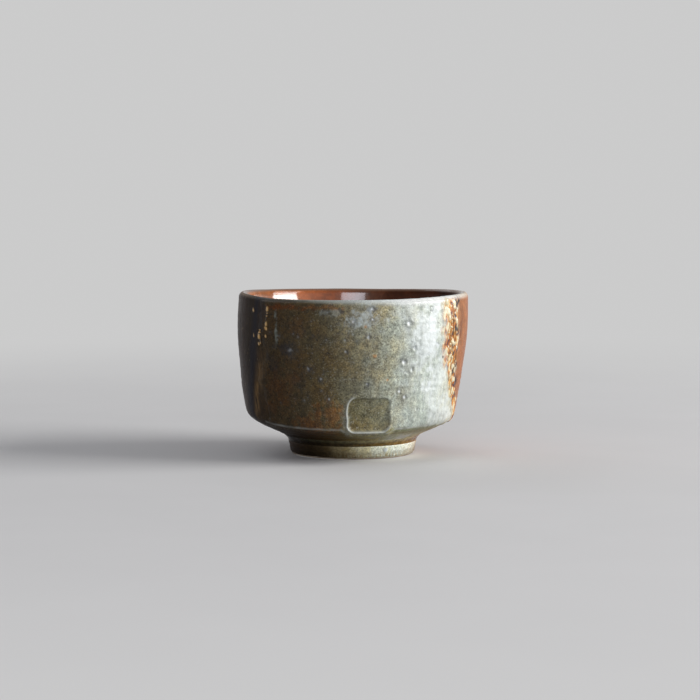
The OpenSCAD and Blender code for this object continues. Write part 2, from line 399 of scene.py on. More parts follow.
def panel_axes():
    """Centre, across, up and out directions of the pressed panel"""
    a = math.radians(PANEL_TURN)
    high = RIDGE_Z + PANEL_LIFT
    outward = np.array([math.sin(a), -math.cos(a), 0])
    upward = np.array([0, 0, 1.0])
    across = np.array([math.cos(a), math.sin(a), 0])
    up = outward * math.sin(WALL_LEAN) + upward * math.cos(WALL_LEAN)
    out = outward * math.cos(WALL_LEAN) - upward * math.sin(WALL_LEAN)
    centre = placed(PANEL_TURN, lower_wall_r(high), high)
    return centre, across, up, out


def rim_strength(across, up):
    """How strong the panel's raised rim is: full at the left and below, weaker at the right and on top"""
    left, right = rise(0.3, 1, -across), rise(0.3, 1, across)
    low, top = rise(0.3, 1, -up), rise(0.3, 1, up)
    return np.maximum(np.maximum(left, low), np.maximum(0.35 * right, 0.12 * top))


def pressed(points, raise_by, widen=0):
    """The points with the panel pressed in, its bed raised by raise_by, how far each lies outside its edge,
    and how strong the rim is there"""
    centre, across, up, out = panel_axes()
    from_centre = points - centre
    a, b, c = from_centre @ across, from_centre @ up, from_centre @ out
    a = a + 0.12 * np.sin(1.1 * b + 0.6)
    qa = abs(a) - (PANEL_W / 2 - PANEL_CORNER)
    qb = abs(b) - (PANEL_H / 2 - PANEL_CORNER)
    inner = np.minimum(np.maximum(qa, qb), 0)
    edge = np.hypot(np.maximum(qa, 0), np.maximum(qb, 0)) + inner - PANEL_CORNER - widen
    bed = -PANEL_DEPTH + PANEL_RISE * rise(-1, 1, b / PANEL_H * 2)
    bed = bed + raise_by + 0.05 * np.sin(0.9 * a + 1.4) + 0.05 * np.sin(1.2 * b)
    sink = np.minimum(bed - c, 0) * fall(-0.6, 0.12, edge)
    strength = rim_strength(a / PANEL_W * 2, b / PANEL_H * 2)
    ring = PANEL_RIM * strength * bell(edge - 0.3, 0.3) * rise(-1.9, -0.9, c)
    return points + (sink + ring)[..., None] * out, np.where(c > -3, edge, 9), strength


def grid_faces(index, wrap, poles):
    """Faces over point numbers in index[row, turn]. The rows close on themselves, or run from pole to pole.
    The grid wraps round the cup, or has an end cap at its first and last turn."""
    right = np.roll(index, -1, 1) if wrap else index[:, 1:]
    here = index if wrap else index[:, :-1]
    caps = []
    if poles:
        caps += [(index[0, 0], b, a) for a, b in zip(here[1], right[1])]
        caps += [(index[-1, 0], a, b) for a, b in zip(here[-2], right[-2])]
        quads = [here[1:-2], right[1:-2], right[2:-1], here[2:-1]]
    else:
        quads = [here, right, np.roll(right, -1, 0), np.roll(here, -1, 0)]
        if not wrap:
            caps += [tuple(index[:, 0]), tuple(index[::-1, -1])]
    return caps + [tuple(q) for q in np.stack(quads, -1).reshape(-1, 4)]


def make_piece(name, parts, node, paint, marks=None, wrap=True, poles=False):
    """A closed mesh from parts, each of points[row, turn]. The marks belong to the first part's points."""
    points = np.vstack(parts)
    rows, turns = points.shape[:2]
    index = np.arange(rows * turns).reshape(rows, turns)
    mesh = bpy.data.meshes.new(name)
    mesh.from_pydata(points.reshape(-1, 3) * MM, [], grid_faces(index, wrap, poles))
    for mark, values in (marks or {}).items():
        full = np.zeros((rows, turns), np.float32)
        full[:len(parts[0])] = values
        mesh.attributes.new(mark, "FLOAT", "POINT").data.foreach_set("value", full.ravel())
    finish_piece(name, mesh, node, paint)


def finish_piece(name, mesh, node, paint):
    """Cleans the mesh, turns its faces outward and hands it to the frame in place of its node"""
    work = bmesh.new()
    work.from_mesh(mesh)
    bmesh.ops.delete(work, geom=[v for v in work.verts if not v.link_faces], context="VERTS")
    bmesh.ops.recalc_face_normals(work, faces=work.faces)
    if work.calc_volume(signed=True) < 0:
        bmesh.ops.reverse_faces(work, faces=work.faces)
    work.to_mesh(mesh)
    work.free()
    mesh.polygons.foreach_set("use_smooth", [True] * len(mesh.polygons))
    mesh.materials.append(paint)
    piece = bpy.data.objects.new(name, mesh)
    bpy.context.scene.collection.objects.link(piece)
    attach(piece, "root")
    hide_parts(node)


def full_turns(count):
    """A row of turns that go all the way round"""
    return np.arange(count)[None, :] * 360 / count - 180


def wall_relief(turn, high):
    """Throwing rings and soft dents of the outer wall, in mm"""
    wander = 0.8 * noise(11, turn, high, 40, 9)
    fading = 0.5 + 0.5 * noise(15, turn, high, 30, 5)
    rings = (0.022 * np.sin(2.3 * high + 2 * wander) + 0.014 * np.sin(4.1 * high + 3 * wander)) * fading
    seam = 0.03 * bell(high - SEAM_Z - 0.3 * wander, 0.5)
    seam = seam - 0.03 * bell(high - SEAM_Z + 0.8 - 0.3 * wander, 0.4)
    dents = 0.1 * noise(12, turn, high, 36, 14)
    drips = 0.06 * noise(13, turn, high, 2, 11) * rise(26, 34, turn) * fall(46, 52, turn)
    uneven = 0.03 + 0.02 * noise(16, turn, high, 25, 2)
    under = uneven * np.sin(5.5 * high + 2 * wander) * fall(RIDGE_Z - 2, RIDGE_Z - 0.5, high)
    full = FULL_LOW * rise(RIDGE_Z - 1, RIDGE_Z + 3, high) * fall(18, 26, high)
    full = full + FULL_HIGH * rise(26, 34, high) * rise(0, 1.5, CUP_H - high)
    above = (rings + seam + drips) * rise(RIDGE_Z, RIDGE_Z + 2, high)
    return above + full + dents * rise(7, 16, high) + under


def amber_zone(high):
    """Middle and half width, in degrees, of the zone of runs and beads at the right end of the ash"""
    middle = np.interp(high, ZONE_HIGH, ZONE_TURN) + 1.2 * noise(33, 0, high, 90, 4)
    half = np.interp(high, ZONE_HIGH, ZONE_HALF) + 0.8 * noise(34, 0, high, 90, 1.6)
    return middle, half


def ash_edges(high):
    """The turns at which the ash coat ends on the left and on the right, at each height"""
    left = ASH_LEFT + 3.5 * noise(31, 0, high, 90, 6) + 2 * noise(32, 0, high, 90, 1.4)
    middle, half = amber_zone(high)
    return left, middle + 0.8 * half


def ash_cover(turn, high):
    """How much ash lies on the wall, from 0 to 1"""
    left, right = ash_edges(high)
    ragged = 1.6 * noise(37, turn, high, 3, 3)
    across = rise(left - ASH_FEATHER, left + ASH_FEATHER, turn + ragged)
    across = across * fall(right - 1.5, right + 3, turn + ragged)
    low = ASH_LOW + 0.3 * noise(35, turn, 0, 6, 1)
    return across * rise(low - 0.5, low + 0.5, high)


def ash_colour(turn, high):
    """How far the ash has coloured the glaze, wider than the coat itself"""
    left, right = ash_edges(high)
    speckle = 5 * noise(36, turn, high, 3, 1.5)
    across = rise(left - 7, left + 4, turn + speckle)
    return across * fall(right - 1.5, right + 1.5, turn + 0.4 * speckle)


def clouds(specs, turn, high, seed):
    """Soft-edged ragged patches: each has a turn, a height, a half width, a half height and a strength"""
    total = np.zeros(np.broadcast(turn, high).shape)
    ragged = 0.45 * noise(seed, turn, high, 2.4, 1.3) + 0.4 * noise(seed + 1, turn, high, 5, 3)
    ragged = ragged + 0.35 * noise(seed + 60, turn, high, 1, 0.6)
    for mid_turn, mid_high, half_w, half_h, strength in specs:
        far = np.hypot((turn - mid_turn) / half_w, (high - mid_high) / half_h) + ragged
        total = np.maximum(total, strength * fall(0.35, 1.25, far))
    return total


def all_pits():
    """The larger pits, small ones spread by chance, and the bubbles beside each of the larger ones"""
    chance = np.random.default_rng(SMALL_PIT_SEED).uniform
    pits = list(PITS)
    for _ in range(SMALL_PITS):
        pits.append((chance(-45, 48), chance(13, 43.5), chance(0.2, 0.42), chance(0.05, 0.12)))
    for turn, high, radius, _ in PITS:
        for _ in range(BUBBLES):
            way = chance(0, 2 * math.pi)
            far = radius * chance(1, 2.4)
            beside = turn + math.degrees(1.3 * far * math.cos(way) / CUP_R)
            pits.append((beside, high + far * math.sin(way), chance(0.18, 0.36), chance(0.05, 0.12)))
    return pits


def all_beads():
    """Drops spread by chance over the amber zone, more of them near the top, and the gold ones on the left"""
    chance = np.random.default_rng(BEAD_SEED)
    drops = []
    for _ in range(BEADS):
        high = 44 - 30 * chance.random() ** 1.35
        middle, half = amber_zone(high)
        radius = 0.26 + 0.5 * chance.random() ** 1.8
        drops.append((middle + half * chance.uniform(-0.75, 0.7), high, radius, 0.42 * radius))
    return drops + list(GOLD_DROPS)


def pit_relief(turn, high):
    """Depth below the ash in mm, and how much each point belongs to a pit's halo and to its painted glint, a
    bright spot painted just left of the pit's middle
    """
    depth = np.zeros(np.broadcast(turn, high).shape)
    halo = np.zeros_like(depth)
    painted_pit_glint = np.zeros_like(depth)
    uneven = 0.35 * noise(59, turn, high, 1.1, 0.6)
    for pit_turn, pit_high, radius, deep in all_pits():
        across = np.radians(turn - pit_turn) * CUP_R
        far = np.hypot(across, high - pit_high) / radius
        depth += -0.75 * deep * fall(0, 1, far + uneven) + 0.22 * deep * bell(far - 1.15, 0.3)
        halo = np.maximum(halo, bell(far, 1.8) * rise(0.15, 0.6, radius))
        # Painted glint: a pale spot left of each pit, where the key light from the right would catch the
        # crater's wall; larger pits and pits on the lit right get more
        near = np.hypot(across + 0.25 * radius, high - pit_high - 0.1 * radius) / radius
        shine = rise(0.25, 0.6, radius) + 0.4 * rise(5, 25, pit_turn)
        painted_pit_glint = np.maximum(painted_pit_glint, bell(np.maximum(near + uneven, 0), 0.42) * np.minimum(shine, 1))
    for ring_turn, ring_high, radius in RINGS:
        from_ring = abs(np.hypot(np.radians(turn - ring_turn) * CUP_R, high - ring_high) - radius)
        depth += -0.1 * bell(from_ring, 0.16)
        halo = np.maximum(halo, 1.1 * bell(from_ring, 0.19))
    ragged = 0.7 + 0.5 * noise(56, turn, high, 2.2, 1.2) + 0.45 * noise(57, turn, high, 1.1, 0.6)
    return depth, np.clip(halo * ragged, 0, 1), painted_pit_glint


def bead_relief(turn, high):
    """Height of the drops, in mm, and how strongly each point belongs to one"""
    proud = np.zeros(np.broadcast(turn, high).shape)
    mark = np.zeros_like(proud)
    for drop_turn, drop_high, radius, tall in all_beads():
        across = np.radians(turn - drop_turn) * CUP_R
        sag = np.where(high < drop_high, 1.1, 1.9)
        far = np.hypot(across, (high - drop_high) / sag) / radius
        proud = np.maximum(proud, tall * np.sqrt(np.clip(1 - far**2, 0, 1)))
        mark = np.maximum(mark, fall(0.55, 1.1, far))
    return proud, mark


def left_streak(turn, high):
    """How much each point belongs to the tan streak left of the ash, and to the dark band beside it"""
    middle = np.interp(high, STREAK_HIGH, STREAK_TURN)
    off = turn - middle - 1.2 * noise(38, turn, high, 4, 6)
    broken = 0.62 + 0.5 * noise(63, turn, high, 1.6, 4) + 0.3 * noise(64, turn, high, 3, 2)
    tan = bell(off, 3.3) * fall(26, 33, high) * rise(9, 13, high) * np.clip(broken, 0, 1)
    dark = bell(off + 7.5, 3.4) * rise(9, 14, high)
    return tan, dark


def skin_marks(turn, high, edge, strong, halo, painted_pit_glint):
    """What the shared skin material needs to know at each point"""
    middle, half = amber_zone(high)
    tan, band = left_streak(turn, high)
    _, bead = bead_relief(turn, high)
    waver = turn + 2.4 * noise(39, turn, high, 2.5, 2)
    amber = rise(middle - 1.35 * half, middle - 0.6 * half, waver)
    dark = np.maximum(clouds(DARK_SPOTS_AND_SHADE, turn, high, 45), 0.95 * band)
    broken = np.clip(0.75 + 0.6 * noise(58, turn, high, 2.5, 1.2), 0, 1)
    # Painted highlights: a pale line along the panel's raised rim, strongest at its left and bottom, and a
    # broken pale line along the ridge, stronger towards the lit right
    rim = 0.9 * bell(edge - 0.12, 0.25) * rise(0.3, 0.8, strong)
    lip_low = 0.8 + 0.7 * rise(-35, 0, turn) + 1.1 * rise(8, 24, turn) - rise(45, 54, turn)
    ridge = (0.55 + 0.35 * rise(15, 30, turn)) * bell(high - RIDGE_Z + 0.2, 0.28) * rise(0.4, 1.2, edge)
    return {
        "ash": ash_colour(turn, high) * (1 - 0.25 * fall(RIDGE_Z - 2, RIDGE_Z - 0.8, high)),
        "lip": fall(0.2, lip_low, CUP_H - high),
        "halo": halo,
        "warm": clouds(WARM_CLOUDS, turn, high, 41),
        "pale": clouds(PALE_AND_SHEEN_CLOUDS, turn, high, 43),
        "rim": np.maximum(rim, ridge * broken),
        "dark": dark * (1 - bead),
        "amber": amber * fall(middle + 0.8 * half, middle + 1.25 * half, waver),
        "burn": rise(middle - 1.3 * half, middle + 1.1 * half, waver),
        "tan": tan,
        "bead": bead,
        "painted_pit_glint": painted_pit_glint,
        "panel": fall(-0.6, 0.1, edge),
    }


def ash_grain(turn, high):
    """Grainy and rippled surface of the melted ash, in mm"""
    grain = 0.03 * noise(51, turn, high, 1.8, 0.9) + 0.022 * noise(52, turn, high, 0.9, 0.5)
    middle, half = amber_zone(high)
    runny = rise(middle - 1.3 * half, middle - 0.5 * half, turn)
    flows = 0.1 * noise(53, turn, high, 2.2, 5) + 0.06 * noise(54, turn, high, 1.2, 1.6)
    return grain + runny * flows


def outer_rows(count):
    return evenly(outer_curve(), count)


def make_outer_glaze(paint):
    line, turn = outer_rows(SKIN_ROWS), full_turns(SKIN_TURNS)
    high = line[:, 1:]
    under_ash = rise(0.35, 0.8, ash_cover(turn, high)) * rise(0.8, 2, CUP_H - high)
    drops, _ = bead_relief(turn, high)
    face = skin(line, 1, wall_relief(turn, high) - 0.2 * under_ash + (1 - under_ash) * drops, turn)
    face, edge, strong = pressed(face, -0.3, 0.3)
    back, _, _ = pressed(skin(outer_rows(BACK_ROWS), 1, -GLAZE_T, turn), -GLAZE_T)
    marks = skin_marks(turn, high, edge, strong, 0, 0)
    make_piece("outer_glaze_skin", [face, back[::-1]], "outer_glaze", paint, marks)


def make_ash_coat(paint):
    turn = np.linspace(*ASH_SPAN, ASH_TURNS)[None, :]
    whole = outer_curve()
    part = whole[(whole[:, 1] < CUP_H - 0.25) & (whole[:, 1] > ASH_LOW - 1.6)]
    line = evenly(part, ASH_ROWS)
    high = line[:, 1:]
    cover = ash_cover(turn, high) * rise(0.25, 1.1, CUP_H - high)
    pits, halo, painted_pit_glint = pit_relief(turn, high)
    drops, _ = bead_relief(turn, high)
    sunk = -0.15
    offset = wall_relief(turn, high) + sunk + (ASH_T - sunk) * cover
    offset = offset + cover * (pits + ash_grain(turn, high)) + rise(0.3, 0.7, cover) * drops
    face, edge, strong = pressed(skin(line, 1, offset, turn), ASH_T - 0.1)
    back, _, _ = pressed(skin(evenly(part, BACK_ROWS), 1, -0.34, turn), -0.36, 0.3)
    marks = skin_marks(turn, high, edge, strong, halo, painted_pit_glint)
    make_piece("ash_coat_skin", [face, back[::-1]], "ash_coat", paint, marks, wrap=False)


def make_liner(paint):
    turn = full_turns(LINER_TURNS)
    line = evenly(inner_curve(), LINER_ROWS)[::-1]
    r, high = line[:, :1], line[:, 1:]
    rings = 0.04 * np.sin(1.7 * high + noise(61, turn, high, 40, 8)) + 0.06 * noise(62, turn, high, 30, 12)
    spiral = 0.13 * np.sin(1.3 * r + np.radians(turn)) * fall(18, 24, r)
    near_lip = fall(CUP_H - 8, CUP_H - 3.5, high)
    flare = LINER_FLARE * fall(CUP_H - 4.6, CUP_H - 1, high) * rise(CUP_H - 22, CUP_H - 9, high)
    face = skin(line, 1, rise(0, 8, r) * (rings * near_lip + spiral) + flare, turn, 0)
    back = skin(evenly(inner_curve(), BACK_ROWS), -1, -LINER_T, turn, 0)
    marks = {"lip": fall(0.15, 0.9, CUP_H - high)}
    make_piece("liner_glaze_skin", [face, back], "liner_glaze", paint, marks, poles=True)


def recess_curve():
    """The domed underside inside the foot, from its wall to the middle"""
    top = FOOT_H + RECESS_DISH
    start = point(BORE_TOP_R, FOOT_H)
    return bezier(start, point(0.55 * BORE_TOP_R, top), point(0.3 * BORE_TOP_R, top), point(0, top))


def make_clay_bowl(paint):
    turn = full_turns(CLAY_TURNS)
    inner = skin(evenly(inner_curve(), CLAY_ROWS)[::-1], 1, -LINER_T, turn, 0)
    outer, _, _ = pressed(skin(outer_rows(CLAY_ROWS), 1, -GLAZE_T, turn), -GLAZE_T)
    recess = evenly(recess_curve(), CLAY_ROWS)
    r, high = recess[:, :1], recess[:, 1:]
    mill = 0.07 * np.sin(2.6 * r + np.radians(turn)) * rise(0, 3, r)
    under = placed(turn, r, high + mill * fall(BORE_TOP_R - 1, BORE_TOP_R, r))
    make_piece("clay_bowl_body", [inner, outer, under], "clay_bowl", paint, poles=True)


def foot_face_r(z):
    return FOOT_BASE_R + (FOOT_R - FOOT_BASE_R) * z / FOOT_H


def rounded_corner(a, corner, b):
    return bezier(a, a + 0.55 * (corner - a), b + 0.55 * (corner - b), b, 6)


def foot_section():
    """The foot ring's closed outline: up its outer face, in over the top, down its bore and out below"""
    base_r = FOOT_BASE_R - FOOT_GLAZE_T
    edge = point(foot_face_r(FOOT_EDGE) - FOOT_GLAZE_T, FOOT_EDGE)
    outer_low = rounded_corner(point(base_r - FOOT_EDGE, 0), point(base_r, 0), edge)
    bore = point(BORE_BASE_R, FOOT_EDGE)
    inner_low = rounded_corner(bore, point(BORE_BASE_R, 0), point(BORE_BASE_R + FOOT_EDGE, 0))
    top_out, top_in = point(FOOT_R - FOOT_GLAZE_T, FOOT_H), point(BORE_TOP_R, FOOT_H)
    return np.vstack([
        evenly(np.vstack([outer_low[-1:], top_out]), 14),
        evenly(np.vstack([top_out, top_in]), 3)[1:],
        evenly(np.vstack([top_in, inner_low[:1]]), 12)[1:],
        inner_low[1:],
        evenly(np.vstack([inner_low[-1:], outer_low[:1]]), 12)[1:],
        outer_low[1:-1],
    ])


def make_foot_ring(paint):
    turn = full_turns(CLAY_TURNS * 2)
    section = foot_section()
    r, high = section[:, :1], section[:, 1:]
    rough = 0.035 * noise(71, turn, 3 * r + high, 5, 0.8) * rise(0.02, 0.5, high) * fall(3, 3.6, high)
    make_piece("foot_ring_body", [placed(turn, r + rough, high)], "foot_ring", paint)


def make_foot_glaze(paint):
    turn = full_turns(SKIN_TURNS)
    edge = FOOT_BARE + 0.05 * noise(81, turn, 0, 9, 1) + 0.03 * noise(82, turn, 0, 3, 1)
    share = np.linspace(0, 1, FOOT_ROWS)[:, None]
    high = edge + (FOOT_H - edge) * share
    thick = FOOT_GLAZE_T * rise(-0.02, 0.12, share)
    lines = 0.035 * np.sin(4.4 * high + 0.6 * noise(83, turn, 0, 50, 1)) * rise(0, 0.2, share)
    lines = lines * fall(0.9, 1, share)
    beadlike = 0.05 * bell(share - 0.13, 0.08)
    drop_turn, drop_high, drop_r, drop_rise = FOOT_DROP
    far = np.hypot(np.radians(turn - drop_turn) * FOOT_R, high - drop_high) / drop_r
    drop = drop_rise * np.sqrt(np.clip(1 - far**2, 0, 1))
    outer = placed(turn, foot_face_r(high) - FOOT_GLAZE_T + thick + lines + beadlike + drop, high)
    back_high = high[::-9]
    inner = placed(turn, foot_face_r(back_high) - FOOT_GLAZE_T - 0.06, back_high)
    marks = {"drop": fall(0.6, 1.1, far)}
    make_piece("foot_glaze_skin", [outer, inner], "foot_glaze", paint, marks)


def make_groove_glaze(paint):
    turn = full_turns(SKIN_TURNS)
    whole = outer_curve()
    pool = whole[whole[:, 1] < FOOT_H + 1.9]
    start, end = pool[0], point(FOOT_R - 0.02, FOOT_H)
    belly = point(GROOVE[0] + 0.5, FOOT_H + 0.65)
    share = np.linspace(0, 1, POOL_ROWS)[:, None, None]
    fill = (0.16 * noise(91, turn, 0, 7, 1) + 0.1 * noise(92, turn, 0, 20, 1))[..., None]
    middle = belly + fill * point(1, -0.5)
    face = (1 - share) ** 2 * (start + point(0.03, -0.02)) + 2 * share * (1 - share) * middle + share**2 * end
    back = evenly(np.vstack([end - point(0, 0.05), pool[::-1] - point(0.12, 0)]), 10)[:, None, :]
    parts = [placed(turn, part[..., 0], part[..., 1]) for part in (face, back)]
    make_piece("groove_glaze_pool", parts, "groove_glaze", paint)


def wall_at(high):
    """Radius and outward normal of the wall at a height above the ridge"""
    line = evenly(outer_curve(), 400)
    side = sides(line, 1)
    wall = (line[:, 1] > RIDGE_Z) & (line[:, 1] < CUP_H - 1)
    z = line[wall, 1][::-1]
    return [np.interp(high, z, values[wall][::-1]) for values in (line[:, 0], side[:, 0], side[:, 1])]


def run_points(chance, turn, top, low, half_w, proud):
    """One run: a rounded trail down the wall that swells into beads, as points[row, step]"""
    s = np.linspace(0, 1, RUN_STEPS)
    swell = 0.45 + 0.25 * s + 0.2 * bell(s - 0.93, 0.05)
    for place in chance.uniform(0.08, 0.95, 6):
        swell = swell + chance.uniform(0.25, 0.6) * bell(s - place, chance.uniform(0.012, 0.03))
    ends = np.sqrt(np.clip(np.minimum(s / 0.04, (1 - s) / 0.02), 0.02, 1))
    high = top + (low - top) * s
    wander = turn + 0.7 * noise(int(chance.integers(1000)), 0, high, 90, 3.5)
    r, side_r, side_z = wall_at(high)
    q = np.linspace(-1, 1, RUN_ROWS)[:, None]
    width = half_w * (0.35 + 0.65 * swell) * ends
    height = -0.08 + (0.08 + proud * swell * ends) * np.sqrt(1 - q * q)
    ground = ASH_T * ash_cover(wander, high) + wall_relief(wander, high)
    up = np.vstack([ground + height, np.full((1, RUN_STEPS), -0.15)])
    q = np.vstack([q, [[0]]])
    turns = wander + np.degrees(q * width / r)
    points = placed(turns, r + side_r * up, high + side_z * up)
    bead = np.vstack([swell * np.ones((RUN_ROWS, 1)), np.zeros((1, RUN_STEPS))])
    return points, bead


def make_ash_runs(paint):
    """All the runs as one piece of separate closed meshes"""
    chance = np.random.default_rng(RUN_SEED)
    coords, faces, beads = [], [], []
    for spec in RUNS:
        points, bead = run_points(chance, *spec)
        rows, steps = points.shape[:2]
        index = np.arange(rows * steps).reshape(rows, steps) + len(coords)
        faces += grid_faces(index, False, False)
        coords += list(points.reshape(-1, 3) * MM)
        beads += list(bead.ravel())
    mesh = bpy.data.meshes.new("ash_runs_beads")
    mesh.from_pydata(coords, [], faces)
    mesh.attributes.new("bead", "FLOAT", "POINT").data.foreach_set("value", np.array(beads, np.float32))
    finish_piece("ash_runs_beads", mesh, "ash_runs", paint)


def rgba(colour):
    """A colour or a grey, as Blender takes it"""
    return (*colour, 1) if isinstance(colour, tuple) else (colour, colour, colour, 1)


class Paint:
    """A node material under construction, with short calls for the nodes that it uses.
    What a call takes can be a number, a colour, an output of a node or the name of a mark on the mesh."""

    def __init__(self, name, wobble=0):
        self.material = bpy.data.materials.new(name)
        self.material.use_nodes = True
        self.nodes = self.material.node_tree.nodes
        self.links = self.material.node_tree.links
        self.shader = self.nodes["Principled BSDF"]
        self.place = self.node("TexCoord").outputs["Object"]
        self.wobble = wobble
        self.share = None

    def feed(self, socket, value):
        if isinstance(value, str):
            value = self.mark(value)
        if isinstance(value, bpy.types.NodeSocket):
            self.links.new(value, socket)
        else:
            socket.default_value = rgba(value) if socket.type == "RGBA" else value

    def node(self, kind, **inputs):
        node = self.nodes.new("ShaderNode" + kind)
        for name, value in inputs.items():
            self.feed(node.inputs[name], value)
        return node

    def mark(self, name):
        node = self.node("Attribute")
        node.attribute_name = name
        return node.outputs["Fac"]

    def maths(self, kind, a, b, clamp=False):
        node = self.node("Math")
        node.operation = kind
        node.use_clamp = clamp
        self.feed(node.inputs[0], a)
        self.feed(node.inputs[1], b)
        return node.outputs[0]

    def texture(self, kind, size, stretch, seed, **inputs):
        """A texture with cells of size mm, stretched up the wall"""
        spot = self.node("Mapping", Vector=self.place, Location=(seed, 0.37 * seed, 0.71 * seed),
                         Scale=(1, 1, 1 / stretch))
        return self.node(kind, Vector=spot.outputs["Vector"], Scale=1 / (size * MM), **inputs)

    def noise(self, size, seed, stretch=1, detail=2, rough=0.5, bend=0):
        inputs = {"Detail": detail, "Roughness": rough, "Distortion": bend}
        return self.texture("TexNoise", size, stretch, seed, **inputs).outputs["Fac"]

    def cells(self, size, seed):
        """Distance to the nearest of points spread size mm apart"""
        return self.texture("TexVoronoi", size, 1, seed).outputs["Distance"]

    def ramp(self, value, stops, kind="LINEAR"):
        """A ramp of colours or greys, each at its place from 0 to 1"""
        node = self.node("ValToRGB", Fac=value)
        node.color_ramp.interpolation = kind
        elements = node.color_ramp.elements
        while len(elements) < len(stops):
            elements.new(0.5)
        for element, (place, colour) in zip(elements, stops.items()):
            element.position = place
            element.color = rgba(colour)
        return node.outputs["Color"]

    def by_turn(self, stops):
        """A ramp over the turn, with its stops in degrees"""
        if self.share is None:
            self.share = self.turn_share()
        return self.ramp(self.share, {turn / 360 + 0.5: colour for turn, colour in stops.items()})

    def turn_share(self):
        """The turn from 0 to 1, with 0.5 at the front. It wavers by up to half of the wobble either way."""
        parts = self.node("SeparateXYZ", Vector=self.place)
        angle = self.maths("ARCTAN2", parts.outputs["X"], self.maths("MULTIPLY", parts.outputs["Y"], -1))
        share = self.maths("ADD", self.maths("MULTIPLY", angle, 1 / (2 * math.pi)), 0.5)
        if not self.wobble:
            return share
        waver = self.maths("SUBTRACT", self.noise(4, stretch=4, detail=3, seed=3), 0.5)
        return self.maths("ADD", share, self.maths("MULTIPLY", waver, self.wobble))

    def high(self, low, top):
        """Height as a share between low and top mm"""
        parts = self.node("SeparateXYZ", Vector=self.place)
        above = self.maths("SUBTRACT", parts.outputs["Z"], low * MM)
        return self.maths("MULTIPLY", above, 1 / ((top - low) * MM), clamp=True)

    def mix(self, factor, a, b, kind="MIX"):
        node = self.node("Mix")
        node.data_type = "RGBA"
        node.blend_type = kind
        for place, value in ((0, factor), (6, a), (7, b)):
            self.feed(node.inputs[place], value)
        return node.outputs[2]

    def times(self, a, b):
        return self.mix(1, a, b, "MULTIPLY")

    def vary(self, colour, value, stops):
        """The colour, multiplied by a ramp over value"""
        return self.times(colour, self.ramp(value, stops))

    def tint(self, share, colour, by):
        """The colour, multiplied by another as far as share says"""
        return self.mix(share, colour, self.times(colour, by))

    def bump(self, heights):
        """Stacks bumps, each a height value and its depth in mm"""
        normal = None
        for height, depth in heights:
            node = self.node("Bump", Distance=depth * MM, Strength=1, Height=height)
            if normal:
                self.feed(node.inputs["Normal"], normal)
            normal = node.outputs["Normal"]
        self.feed(self.shader.inputs["Normal"], normal)

    def set(self, **values):
        for name, value in values.items():
            self.feed(self.shader.inputs[name.replace("_", " ")], value)


# Colours and gloss over the turn, in degrees: FLASH, ASH and LIP are the outside's, INSIDE the upper liner's
FLASH = {
    -180: (0.22, 0.075, 0.038), -165: (0.21, 0.072, 0.038), -140: (0.13, 0.048, 0.032),
    -105: (0.075, 0.032, 0.024), -85: (0.04, 0.016, 0.011), -72: (0.034, 0.014, 0.009),
    -62: (0.032, 0.02, 0.012), -50: (0.05, 0.03, 0.014), 52: (0.42, 0.17, 0.06),
    64: (0.41, 0.165, 0.062), 80: (0.37, 0.13, 0.05), 110: (0.34, 0.115, 0.055),
    140: (0.28, 0.09, 0.044), 165: (0.22, 0.075, 0.038), 180: (0.22, 0.075, 0.038),
}
# ASH grows much darker towards the left: partly the ash's own change from celadon to olive, partly painted
# shade on the side turned away from the key light
ASH = {
    -64: (0.055, 0.034, 0.014), -40: (0.062, 0.042, 0.018), -25: (0.082, 0.06, 0.026),
    -13: (0.13, 0.108, 0.052), -5: (0.21, 0.19, 0.105), 3: (0.285, 0.278, 0.18),
    11: (0.35, 0.362, 0.27), 20: (0.45, 0.495, 0.4), 29: (0.56, 0.625, 0.56),
    38: (0.62, 0.68, 0.61), 50: (0.68, 0.72, 0.64), 60: (0.7, 0.69, 0.56), 72: (0.66, 0.58, 0.42),
}
LIP = {
    -180: (0.22, 0.12, 0.075), -95: (0.2, 0.11, 0.07), -70: (0.2, 0.12, 0.06),
    -58: (0.05, 0.04, 0.025), -32: (0.07, 0.06, 0.04), -20: (0.3, 0.31, 0.26), -3: (0.5, 0.54, 0.5),
    18: (0.84, 0.89, 0.86), 30: (0.93, 0.95, 0.93), 55: (0.88, 0.89, 0.85), 75: (0.72, 0.64, 0.52),
    92: (0.5, 0.35, 0.24), 125: (0.25, 0.14, 0.09), 180: (0.22, 0.12, 0.075),
}
# INSIDE is painted brighter on the back-left inner wall that faces the key light and near black on the right
# inner wall that the rim shades, over the liner's orange-brown
INSIDE = {
    -180: (0.2, 0.055, 0.018), -165: (0.38, 0.096, 0.022), -140: (0.43, 0.12, 0.027),
    -110: (0.38, 0.14, 0.05), -60: (0.3, 0.11, 0.035), 30: (0.3, 0.1, 0.03),
    90: (0.11, 0.038, 0.014), 115: (0.065, 0.02, 0.008), 155: (0.11, 0.032, 0.011),
    172: (0.19, 0.066, 0.025), 180: (0.2, 0.055, 0.018),
}
GROOVE_TOP = {
    -60: (0.03, 0.024, 0.012), -15: (0.13, 0.12, 0.06), 10: (0.44, 0.4, 0.2),
    25: (0.56, 0.51, 0.28), 45: (0.5, 0.44, 0.25), 75: (0.34, 0.18, 0.08),
}
OUTSIDE_GLOSS = {
    -110: 0.25, -95: 0.03, -60: 0.03, -30: 0.2, 5: 0.4, 28: 0.9, 56: 0.6, 70: 0.12, 100: 0.08, 130: 0.25,
}
LOW_GLOSS = {-130: 0.3, -80: 0.06, -25: 0.1, 10: 0.3}
GROOVE_TINT = {
    -180: (0.08, 0.035, 0.01), -40: (0.018, 0.011, 0.004), -5: (0.05, 0.034, 0.01),
    20: (0.16, 0.1, 0.022), 50: (0.28, 0.16, 0.035), 80: (0.2, 0.08, 0.02),
    180: (0.08, 0.035, 0.01),
}
